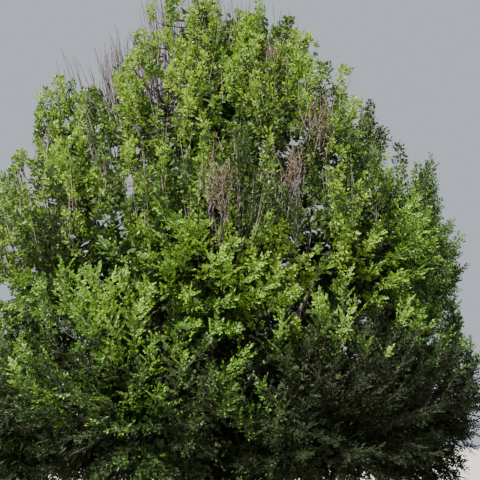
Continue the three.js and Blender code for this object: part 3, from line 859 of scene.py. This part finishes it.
def shaded(points):
    """How much painted shade leaves get near the ground, away from the sun, in hollows and above the edge,
    less the painted light on lit places.
    """
    x, y, z = points.T
    above = above_edge(points)
    front = ramp(-y, *IN_FRONT)
    shade_height = GROUND_SHADE["height"] + GROUND_SHADE["rise"] * ramp(x, *GROUND_SHADE["right"])
    near_ground = np.exp(-((np.abs(z) / shade_height) ** 3))
    turned = SHADE_SIDE["right"] * x + SHADE_SIDE["back"] * (y - SHADE_SIDE["front"])
    below_top = UNDERSIDE["top"] + UNDERSIDE["ragged"] * (hollows(points) - 0.5) - z
    near_front = UNDERSIDE["at_back"] + (1 - UNDERSIDE["at_back"]) * ramp(-y, *UNDERSIDE["front"])
    band = BEHIND_EDGE["band"] + BEHIND_EDGE["wider"] * ramp(-x, *BEHIND_EDGE["left"])
    fainter = 1 - BEHIND_EDGE["less"] * ramp(x, *BEHIND_EDGE["right"])
    stronger = 1 + LIT_BELT["more"] * ramp(x, *LIT_BELT["more_right"])
    under_height = UNDER_LEFT["height"] + UNDER_LEFT["rise"] * ramp(-x, *UNDER_LEFT["rise_left"])
    strengths = dict(
        near_ground=near_ground,
        underside=ramp(turned, *SHADE_SIDE["turned"]) * ramp(below_top, *UNDERSIDE["under"]) * near_front,
        behind_edge=bell(above / band, *BEHIND_EDGE["bands"]) * fainter,
        far_left=ramp(-x, *FAR_LEFT["left"]) * ramp(-above, *FAR_LEFT["under"]),
        under_left=bell(z, under_height, UNDER_LEFT["half"]) * ramp(-x, *UNDER_LEFT["left"]),
        far_right=ramp(x, *FAR_RIGHT),
        between_columns=bell(x, *COLUMN_GAP["across"]) * bell(z, *COLUMN_GAP["up"]) * front,
        on_edge=bell(above, *ON_EDGE),
        lit_belt=bell(z, *LIT_BELT["up"]) * ramp(x, *LIT_BELT["right"]) * stronger,
        lit_top=bell(x, *LIT_TOP["across"]) * ramp(z, *LIT_TOP["up"]) * front,
    )
    in_cleft = CLEFT_SHADE[0] * (clefts(points) - CLEFT_SHADE[1])
    in_hollow = HOLLOW_SHADE[0] * (hollows(points) - HOLLOW_SHADE[1])
    hollow = np.where(above > 0, in_cleft, in_hollow) * (1 - EVEN_NEAR_GROUND * near_ground)
    return hollow + sum(PAINTED_SHADE[name] * strength for name, strength in strengths.items())


def leafy(zone, patterns, grown, finishes, lift, leaf_length, leaf_width):
    """Make the leaf pieces of one zone, one for each tone of painted light and shade, and give the lines of
    its side shoots.

    Each shoot has its own tone, and its tip is brighter. The zone's masses are hidden, and the pieces are
    drawn in their place.
    """
    stock = {tone: [] for tone in finishes}
    lines = []
    for shoots in grown:
        by_branch = dice.normal(0, TONE_BY_BRANCH, shoots.branch.max(initial=-1) + 1)
        # A shoot's tone is the zone's lift, less the painted shade of its place, plus random tone; it picks
        # one of the lit and shaded copies of the leaf.
        of_shoot = lift - shaded(shoots.start) + by_branch[shoots.branch]
        of_shoot += dice.normal(0, TONE_BY_SHOOT, len(shoots.size))
        kind = dice.integers(0, len(patterns), len(shoots.size))
        for number, pattern in enumerate(patterns):
            leaves, sides = place_pattern(pattern, only(shoots, kind == number), leaf_length, leaf_width)
            tone = (of_shoot[kind == number][:, None] + TIP_GAIN * (pattern.bases[:, 0] - TIP_FROM)).ravel()
            tone = tone + dice.normal(0, TONE_BY_LEAF, len(leaves))
            grade = np.digitize(-tone, TONE_LIMITS[:len(finishes) - 1])
            stays = out_of_openings(leaves) & (leaves[..., 2].min(axis=-1) > LOWEST_LEAF)
            for step, name in enumerate(finishes):
                stock[name].append(leaves[stays & (grade == step)])
            lines.append(sides[~open_to_sky(sides[:, 1])])
    pieces = {
        name: leaf_piece(f"{zone}_leaves_{name}", np.concatenate(leaves), finishes[name])
        for name, leaves in stock.items()
    }
    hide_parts(*[f"foliage_{mass.name}" for mass in masses if mass.zone == zone])
    return np.concatenate(lines)


def leaf_finishes(zone, tones):
    """The finishes of one zone's leaves, one for each tone: lit and shaded copies, from painted light to
    painted shade.
    """
    return {tone: leaf_finish(f"{zone}_{tone}_leaf", *values) for tone, values in tones.items()}


def grown_on(high, growth):
    """The shoots of every mass, on its high branches or on its low ones."""
    grown = []
    for mass in masses:
        chosen = mass.branches.high == high
        if chosen.any():
            grown.append(shortened(mass, shoots_on(mass.branches, chosen, **growth)))
    return grown


# Each tone is its face, its colour lit through, and for some their light through, roughness and gloss.
# The tones are lit and shaded copies of one leaf, from painted light (gold) to painted shade (dim); shaded()
# and a random tone deal them out by spray.
lower_finishes = leaf_finishes("lower", {
    "gold": ((0.203, 0.35, 0.047), (0.288, 0.488, 0.039)),
    "bright": ((0.118, 0.246, 0.03), (0.186, 0.393, 0.026)),
    "middle": ((0.066, 0.148, 0.018), (0.11, 0.255, 0.015)),
    "deep": ((0.025, 0.06, 0.01), (0.044, 0.106, 0.009)),
    "dark": ((0.016, 0.031, 0.009), (0.026, 0.05, 0.007), 0.15, 0.6, 0.22),
    "dim": ((0.011, 0.019, 0.007), (0.017, 0.03, 0.006), 0.1, 0.65, 0.16),
})
flat_sprays = [flat_spray() for _ in range(KINDS)]
grown = grown_on(False, SPRAYS)
side_lines = leafy("lower", flat_sprays, grown, lower_finishes, LOWER_LIFT, LEAF_LENGTH, LEAF_WIDTH)

shoot_bark = bark("shoot_bark", (0.055, 0.05, 0.024), (0.036, 0.03, 0.017), (0.09, 0.085, 0.042), 20.0)
axis_lines = np.concatenate([
    np.stack([shoots.start, shoots.start + shoots.way * shoots.size[:, None]], axis=1) for shoots in grown
])
twig_piece("lower_shoots", axis_lines[~open_to_sky(axis_lines[:, 1])], SHOOT_RADIUS, shoot_bark)
twig_piece("lower_side_shoots", side_lines, SIDE_SHOOT_RADIUS, shoot_bark)

# The tufts of the upper crown: short spurs along steep branches, each with a tight bunch of coarser
# leaves that look all ways, painted brighter than the lower crown's, partly for the sky light up there.
# Bare stem and sky show between one tuft and the next.
TUFTS = dict(number=10, along=1.7, length=0.2, lean=0.9, flat=1.0, face_up=0.3, hidden_from=1.2)
TUFT_LEAVES = 21
TUFT_LEAVES_MORE = 5
TUFT_BULGE = (0.1, 0.4)
TUFT_BULGE_LESS = 0.6
TUFT_CROWDING = 0.75
TUFT_ROLL = 0.3
TUFT_REACH = (0.8, 1.15)
TUFT_FORWARD = (0.3, 1.0)
TUFT_SWING = 0.3
TUFT_FACE = (0.5, 0.4)
TUFT_FACE_SPREAD = 0.7
TUFT_LEAF_SIZES = (0.7, 1.15)
TUFT_LEAF_LENGTH = 0.083
TUFT_LEAF_WIDTH = 0.6
UPPER_LIFT = 0.2
ALONG = np.array([1.0, 0, 0])
STRAIGHT_SPUR = [(np.zeros(3), ALONG)]


def tuft():
    """Leaves all round a short spur, closer towards its end."""
    leaves = []
    number = TUFT_LEAVES + dice.integers(-TUFT_LEAVES_MORE, TUFT_LEAVES_MORE + 1)
    bulge = dice.uniform(*TUFT_BULGE)
    for i in range(number):
        share = ((i + 0.5) / number) ** TUFT_CROWDING
        roll = GOLDEN * i + dice.normal(0, TUFT_ROLL)
        aside = np.array([0, math.cos(roll), math.sin(roll)])
        base = ALONG * share * dice.uniform(*TUFT_REACH) + aside * bulge * (1 - TUFT_BULGE_LESS * share)
        way = rough(ALONG * (TUFT_FORWARD[0] + TUFT_FORWARD[1] * share) + aside, TUFT_SWING)
        face = rough(ALONG * TUFT_FACE[0] - aside * TUFT_FACE[1], TUFT_FACE_SPREAD)
        leaves.append((base, way, face, dice.uniform(*TUFT_LEAF_SIZES)))
    return listed(leaves, STRAIGHT_SPUR)


# Lit and shaded copies of one leaf, as for the lower crown; the darker tones are painted lighter than below,
# for the sky light that reaches the upper crown.
upper_finishes = leaf_finishes("upper", {
    "gold": ((0.252, 0.385, 0.05), (0.35, 0.53, 0.04)),
    "bright": ((0.157, 0.277, 0.037), (0.245, 0.44, 0.03)),
    "middle": ((0.074, 0.16, 0.026), (0.127, 0.275, 0.024)),
    "deep": ((0.038, 0.078, 0.016), (0.062, 0.13, 0.013)),
    "dark": ((0.03, 0.05, 0.016), (0.048, 0.085, 0.013)),
})
tufts = [tuft() for _ in range(KINDS)]
grown = grown_on(True, TUFTS)
spur_lines = leafy("upper", tufts, grown, upper_finishes, UPPER_LIFT, TUFT_LEAF_LENGTH, TUFT_LEAF_WIDTH)
twig_piece("spurs", spur_lines, SHOOT_RADIUS, shoot_bark)

# The withered shoots: a few dead ends in the front of the crown, which keep small curled brown leaves.
# They are ordinary twigs of this and last year, dried out where they grew. Each row is x, y, z, spread.
WITHERED = ((0.0, -5.0, 5.3, 0.5), (1.2, -4.7, 5.8, 0.5), (1.05, -2.9, 8.7, 0.35), (1.8, -3.9, 6.9, 0.4))
WITHERED_TWIGS = 60
WITHERED_SCATTER = 0.45
WITHERED_STRETCH = np.array([0.6, 0.7, 1.3])
WITHERED_SWING = 0.35
WITHERED_OUTWARD = 0.3
WITHERED_LENGTH = 0.3
WITHERED_LENGTHS = (0.6, 1.5)
WITHERED_SPRAY = dict(count=7, first=0.3, step=0.1, forward=0.8, swing=0.3)
WITHERED_LEAF_LENGTH = 0.05
WITHERED_LEAF_WIDTH = 0.5
ANY_WAY = (0, 0, 0)

withered_leaf = leaf_finish("withered_leaf", (0.125, 0.086, 0.038), (0.12, 0.08, 0.03), 0.1, 0.7, 0.2)


def round_spray(count, first, step, forward, swing, off_twig=0.0, flat=1.0):
    """Leaves of one size round a thin twig, turned to all sides."""
    leaves = []
    for i in range(count):
        aside = np.array([0, math.cos(GOLDEN * i), flat * math.sin(GOLDEN * i)])
        base = ALONG * (first + step * i) + aside * off_twig
        way = rough(ALONG * forward + aside, swing)
        leaves.append((base, way, rough(ANY_WAY, 1.0), 1.0))
    return listed(leaves, STRAIGHT_SPUR)


withered_stock = []
withered_lines = []
for x, y, z, spread in WITHERED:
    place = np.array([x, y, z])
    start = place + dice.normal(0, WITHERED_SCATTER * spread, (WITHERED_TWIGS, 3)) * WITHERED_STRETCH
    outward = unit(place * (1, 1, 0)) * WITHERED_OUTWARD
    way = unit(UP + dice.normal(0, WITHERED_SWING, start.shape) + outward)
    face = unit(np.cross(way, dice.normal(0, 1, way.shape)))
    size = WITHERED_LENGTH * dice.uniform(*WITHERED_LENGTHS, WITHERED_TWIGS)
    leaves, lines = place_pattern(
        round_spray(**WITHERED_SPRAY), SimpleNamespace(start=start, way=way, face=face, size=size),
        WITHERED_LEAF_LENGTH, WITHERED_LEAF_WIDTH,
    )
    withered_stock.append(leaves)
    withered_lines.append(lines)
leaf_piece("withered_leaves", np.concatenate(withered_stock), withered_leaf)

# The bare shoots: dead tops of the highest branches, grey and leafless, in bundles above the outline
# and along its openings. Each is a long thin whip with side twigs. A row is x, y, z, number, length.
BARE_BUNDLES = (
    (-3.72, 0.0, 9.75, 6, 0.85), (-3.95, 0.0, 9.1, 5, 0.7), (-2.95, 0.1, 9.4, 14, 0.9),
    (-2.6, -0.1, 9.4, 26, 1.3), (-2.25, 0.1, 9.6, 34, 1.45), (-1.9, 0.0, 9.9, 16, 1.3),
    (-1.6, -0.3, 10.8, 18, 1.2), (-1.2, 0.0, 10.6, 26, 1.65), (-0.7, 0.2, 11.1, 20, 1.35),
    (-0.15, 0.0, 11.1, 24, 1.4), (0.35, 0.1, 11.1, 22, 1.3), (0.8, 0.1, 11.0, 14, 1.0),
    (1.5, 0.1, 11.0, 6, 0.9), (-1.3, -0.9, 8.8, 20, 1.4), (-1.75, -0.8, 8.6, 18, 1.3),
    (4.55, 0.0, 7.3, 3, 0.5), (-2.3, -2.4, 6.4, 16, 1.3), (-3.2, -1.5, 6.2, 12, 1.2),
    (0.1, -4.6, 4.9, 8, 0.9), (1.2, -4.3, 5.2, 8, 0.9), (-3.6, 1.6, 8.6, 6, 0.8),
    (2.6, 1.6, 9.4, 8, 0.9), (-1.4, 2.2, 10.3, 12, 1.1), (0.9, 2.0, 10.9, 12, 1.1),
)
BUNDLE_SPREAD = np.array([0.16, 0.25, 0.12])
BARE_LEAN = np.array([0.06, 0.05, 0])
BARE_LEAN_LEFT = np.array([-0.05, 0, 0])
BARE_SWING = 0.09
BARE_HEIGHTS = (0.6, 1.1)
BARE_ROOT = 0.45
BARE_BOW = 0.05
BARE_RADIUS = 0.015
BARE_TIP_RADIUS = 0.0055
BARE_RINGS = 5
BARE_SIDES = 3
BARE_TWIGS = 5
BARE_TWIGS_AT = (0.35, 0.9)
BARE_TWIG_SWING = 0.32
BARE_TWIG_LENGTH = 0.3
BARE_TWIG_LENGTHS = (0.5, 1.2)
BARE_TWIG_LONGEST = 1.2
BARE_TWIG_RADIUS = 1.3 * BARE_TIP_RADIUS
BARE_LIMIT = 12.56

bare_bark = bark("bare_bark", (0.1, 0.082, 0.085), (0.05, 0.04, 0.042), (0.19, 0.16, 0.165), 14.0)
bare_points = []
bare_twigs = []
for x, y, z, number, length in BARE_BUNDLES:
    place = np.array([x, y, z])
    for _ in range(number):
        foot = place + dice.normal(0, 1, 3) * BUNDLE_SPREAD
        lean = BARE_LEAN * place + BARE_LEAN_LEFT + dice.normal(0, BARE_SWING, 3)
        way = unit(UP + lean * np.array([1, 1, 0]))
        tall = min(length * dice.uniform(*BARE_HEIGHTS), (BARE_LIMIT - foot[2]) / way[2])
        start = foot - way * BARE_ROOT
        tip = foot + way * tall
        bend = (start + tip) / 2 + dice.normal(0, BARE_BOW, 3)
        line, ways = bend_through(start, bend, tip, np.linspace(0, 1, BARE_RINGS))
        radii = np.linspace(BARE_RADIUS, BARE_TIP_RADIUS, BARE_RINGS)
        bare_points.append(limb_points(line, ways, radii, BARE_SIDES))
        share = dice.uniform(*BARE_TWIGS_AT, BARE_TWIGS)
        twig_start, twig_ways = bend_through(start, bend, tip, share)
        twig_way = unit(twig_ways + dice.normal(0, BARE_TWIG_SWING, (BARE_TWIGS, 3)))
        twig_long = BARE_TWIG_LENGTH * dice.uniform(*BARE_TWIG_LENGTHS, (BARE_TWIGS, 1))
        twig_end = twig_start + twig_way * twig_long * (BARE_TWIG_LONGEST - share[:, None])
        twig_end[:, 2] = np.minimum(twig_end[:, 2], BARE_LIMIT)
        bare_twigs.append(np.stack([twig_start, twig_end], axis=1))
joined_tubes("bare_shoots", bare_points, BARE_RINGS, BARE_SIDES, bare_bark)
twig_piece("bare_twigs", np.concatenate(bare_twigs + withered_lines), BARE_TWIG_RADIUS, bare_bark)

# The whips: upright shoots of other years, thin and nearly straight, that stand on the steep branches
# among the tufts. They have lost their leaves for good, and some end just above the foliage.
WHIPS = 3
WHIPS_AT = (0.45, 0.95)
WHIP_FOLLOWS = 0.5
WHIP_SWING = 0.13
WHIP_LENGTH = (0.5, 1.15)
WHIP_PAST = 1.07
WHIP_RADIUS = 0.0075

whips = []
for mass in masses:
    branches = mass.branches
    high = branches.high
    if high.any():
        curve = [part[high][:, None] for part in (branches.start, branches.bend, branches.end)]
        foot, ways = bend_through(*curve, dice.uniform(*WHIPS_AT, (high.sum(), WHIPS)))
        way = unit(ways * WHIP_FOLLOWS + UP + dice.normal(0, WHIP_SWING, foot.shape))
        tip = foot + way * dice.uniform(*WHIP_LENGTH, foot.shape[:2])[..., None]
        offset = tip - mass.middle
        stays = np.linalg.norm(offset, axis=-1) < reach(mass, unit(offset)) * WHIP_PAST
        whips.append(np.stack([foot[stays], tip[stays]], axis=1))
whip_bark = bark("whip_bark", (0.12, 0.1, 0.08), (0.06, 0.05, 0.04), (0.21, 0.18, 0.15), 14.0)
twig_piece("whips", np.concatenate(whips), WHIP_RADIUS, whip_bark)

# The shade leaves: broader, darker and fewer, on thin shoots along the inner part of each branch, and
# on water shoots all along the trunk and the boughs. They close the crown behind its lit outside.
SHADE_GROWTH = dict(along=1.5, length=0.5, lean=0.8, flat=1.0, face_up=0.5, hidden_from=ANYWHERE)
SHADE_SHOOTS = {"lower": 4, "upper": 2}
SHADE_BRANCH_PART = 0.62
SHADE_DEPTH = 0.75
SHADE_SPRAY = dict(count=11, first=0.1, step=0.085, forward=0.6, swing=0.2, off_twig=0.16, flat=0.7)
SHADE_LEAF_LENGTH = 0.18
SHADE_LEAF_WIDTH = 0.66
WATER_SHOOTS = {"trunk": 460, "bough": 95}
WATER_SHOOT_LENGTH = (0.45, 1.05)
WATER_SHOOT_HEIGHTS = (0.55, 10.6)
WATER_SHOOTS_END = 0.98
AGAINST_LIMB = 0.3
TURN_UP = 0.5
DROOP = 0.15


def water_shoots(foot, ways, turn_up):
    """Shoots that stand out all round a limb and turn up, or droop."""
    way = unit(dice.normal(0, 1, foot.shape) - AGAINST_LIMB * ways + turn_up * UP)
    face = unit(np.cross(way, dice.normal(0, 1, foot.shape)))
    size = dice.uniform(*WATER_SHOOT_LENGTH, len(foot))
    return SimpleNamespace(start=foot, way=way, face=face, size=size)


def inner_part(branches):
    """The part of each branch that is next to its stem."""
    inner = SimpleNamespace(**vars(branches))
    share = np.full(len(branches.end), SHADE_BRANCH_PART)
    inner.end, _ = bend_through(branches.start, branches.bend, branches.end, share)
    inner.bend = (inner.start + inner.end) / 2
    return inner


# The shade leaves' dark colour is partly painted shade for the crown's dark inside; the upper ones are
# painted lighter, for the sky light there.
shade_finishes = {
    "lower": leaf_finish("lower_shade_leaf", (0.032, 0.047, 0.017), (0.048, 0.076, 0.013), 0.12, 0.7, 0.2),
    "upper": leaf_finish("upper_shade_leaf", (0.062, 0.104, 0.028), (0.1, 0.17, 0.024), 0.35, 0.7, 0.2),
}
shade_sprays = [round_spray(**SHADE_SPRAY) for _ in range(KINDS)]
foot = trunk_middle(dice.uniform(*WATER_SHOOT_HEIGHTS, WATER_SHOOTS["trunk"]))
shade_grown = [water_shoots(foot, np.broadcast_to(UP, foot.shape), TURN_UP)]
for mass in masses:
    if mass.tier["radius"]:
        share = dice.random(WATER_SHOOTS["bough"]) * WATER_SHOOTS_END
        turn_up = -DROOP if mass.tier["name"] == "skirt" else TURN_UP
        shade_grown.append(water_shoots(*bend_through(*mass.bough, share), turn_up))
for mass in masses:
    inner = inner_part(mass.branches)
    everywhere = np.full(len(inner.end), True)
    shoots = shoots_on(inner, everywhere, SHADE_SHOOTS[mass.zone], **SHADE_GROWTH)
    deep_in = within_crown(shoots.start + shoots.way * shoots.size[:, None]) > SHADE_DEPTH
    shade_grown.append(only(shoots, deep_in))
shade_stock = []
shade_lines = []
for shoots in shade_grown:
    kind = dice.integers(0, KINDS, len(shoots.size))
    for number, pattern in enumerate(shade_sprays):
        part = only(shoots, kind == number)
        leaves, lines = place_pattern(pattern, part, SHADE_LEAF_LENGTH, SHADE_LEAF_WIDTH)
        shade_stock.append(leaves)
        shade_lines.append(lines)
leaves = np.concatenate(shade_stock)
leaves = leaves[(leaves[..., 2].min(axis=-1) > LOWEST_LEAF) & out_of_openings(leaves)]
is_upper = above_edge(leaves[:, 0]) > 0
for zone, chosen in (("lower", ~is_upper), ("upper", is_upper)):
    leaf_piece(f"{zone}_shade_leaves", leaves[chosen], shade_finishes[zone])
lines = np.concatenate(shade_lines)
lines = lines[lines[..., 2].min(axis=-1) > LOWEST_LEAF]
twig_piece("shade_shoots", lines, SHOOT_RADIUS, shoot_bark)

# The ground and the light: a plain pale floor, a pale surround, and one sun that stands high, in
# front of the tree and to its left, with a slightly soft edge to its shadows.
FLOOR_HALF = 60.0
FLOOR_COLOUR = (0.36, 0.36, 0.345)
FLOOR_ROUGHNESS = 0.9
SUN_WAY = unit(np.array([-0.48, -0.64, 1.0]))
SUN_STRENGTH = 15.2
SUN_SOFTNESS = math.radians(2.5)
SUN_COLOUR = (1.0, 0.95, 0.86)
SURROUND = (0.74, 0.79, 0.88)
SURROUND_STRENGTH = 0.7

floor_finish = bpy.data.materials.new("floor_finish")
floor_finish.use_nodes = True
floor_shader = floor_finish.node_tree.nodes["Principled BSDF"]
floor_shader.inputs["Base Color"].default_value = (*FLOOR_COLOUR, 1)
floor_shader.inputs["Roughness"].default_value = FLOOR_ROUGHNESS
corners = np.array([[-1, -1, 0], [1, -1, 0], [1, 1, 0], [-1, 1, 0]]) * FLOOR_HALF
floor_mesh = bpy.data.meshes.new("floor")
floor_mesh.from_pydata(corners.tolist(), [], [(0, 1, 2, 3)])
floor_mesh.materials.append(floor_finish)
floor = bpy.data.objects.new("floor", floor_mesh)
bpy.context.scene.collection.objects.link(floor)

sun_data = bpy.data.lights.new("sun", "SUN")
sun_data.energy = SUN_STRENGTH
sun_data.angle = SUN_SOFTNESS
sun_data.color = SUN_COLOUR
sun = bpy.data.objects.new("sun", sun_data)
sun.rotation_mode = "QUATERNION"
sun.rotation_quaternion = Vector(SUN_WAY).to_track_quat("Z", "Y")
bpy.context.scene.collection.objects.link(sun)

world = bpy.data.worlds.new("surround")
world.use_nodes = True
background = world.node_tree.nodes["Background"]
background.inputs["Color"].default_value = (*SURROUND, 1)
background.inputs["Strength"].default_value = SURROUND_STRENGTH
bpy.context.scene.world = world
